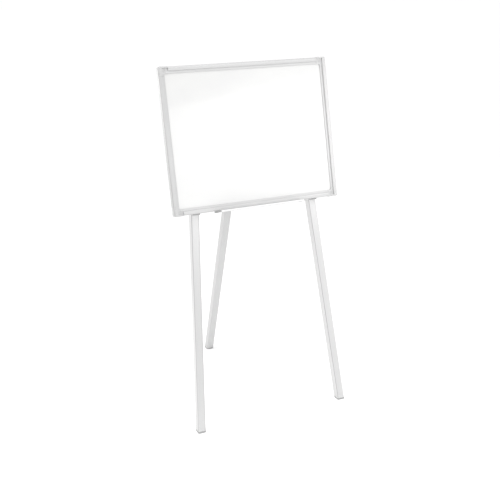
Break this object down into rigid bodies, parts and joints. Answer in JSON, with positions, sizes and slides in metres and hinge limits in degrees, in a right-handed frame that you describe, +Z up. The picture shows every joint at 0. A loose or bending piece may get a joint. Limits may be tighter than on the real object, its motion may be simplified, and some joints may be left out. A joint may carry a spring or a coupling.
{
  "type": "magnetic whiteboard easel",
  "caption": "Small magnetic whiteboard in an aluminium frame with moulded corners and a pen tray, on two splayed front legs and a rear leg that folds in on a hinge.",
  "frame": {"origin": "on the floor, in the middle of the footprint of the opened easel", "axes": "+Z up, the board faces -Y, +X to the right as seen by a person who faces the board"},
  "size_m": [0.3574, 0.3606, 0.7039],
  "materials": {
    "white_enamel": "gloss",
    "panel_core": "matt",
    "zinc_sheet": "dull",
    "rail_aluminium": "satin anodised",
    "corner_plastic": "satin",
    "grey_plastic": "satin",
    "leg_aluminium": "fine matt anodised",
    "grey_rubber": "matt",
    "zinc_steel": "bright zinc plated",
    "nylon": "satin"
  },
  "bodies": {
    "stand": {"writing_sheet": "white_enamel", "panel_core": "panel_core", "back_sheet": "zinc_sheet", "top_rail": "rail_aluminium", "bottom_rail": "rail_aluminium", "left_rail": "rail_aluminium", "right_rail": "rail_aluminium", "corner_top_left": "corner_plastic", "corner_top_right": "corner_plastic", "corner_bottom_left": "corner_plastic", "corner_bottom_right": "corner_plastic", "pen_tray": "rail_aluminium", "tray_cap_left": "grey_plastic", "tray_cap_right": "grey_plastic", "tray_rivets": "zinc_steel", "board_spacer_left": "grey_plastic", "board_spacer_right": "grey_plastic", "top_strap_left": "zinc_steel", "top_strap_right": "zinc_steel", "strap_rivets": "zinc_steel", "board_screws": "zinc_steel", "top_screws": "zinc_steel", "front_leg_left": "leg_aluminium", "front_leg_right": "leg_aluminium", "foot_left": "grey_rubber", "foot_right": "grey_rubber", "leg_plug_left": "grey_plastic", "leg_plug_right": "grey_plastic", "crossbar": "zinc_steel", "crossbar_rivets": "zinc_steel", "hinge_clevis": "zinc_steel", "clevis_rivets": "zinc_steel", "pivot_bolt": "zinc_steel", "pivot_nut": "zinc_steel", "ear_washers": "zinc_steel", "thrust_washers": "nylon"},
    "rear_leg": {"rear_leg": "leg_aluminium", "pivot_bush": "nylon", "foot_rear": "grey_rubber", "leg_plug_rear": "grey_plastic"}
  },
  "joints": [
    {"name": "rear_leg_fold", "type": "hinge", "parent": "stand", "child": "rear_leg", "pos_m": [0, -0.01394, 0.60708], "axis": [-1, 0, 0], "range_deg": [0, 29.52]}
  ]
}
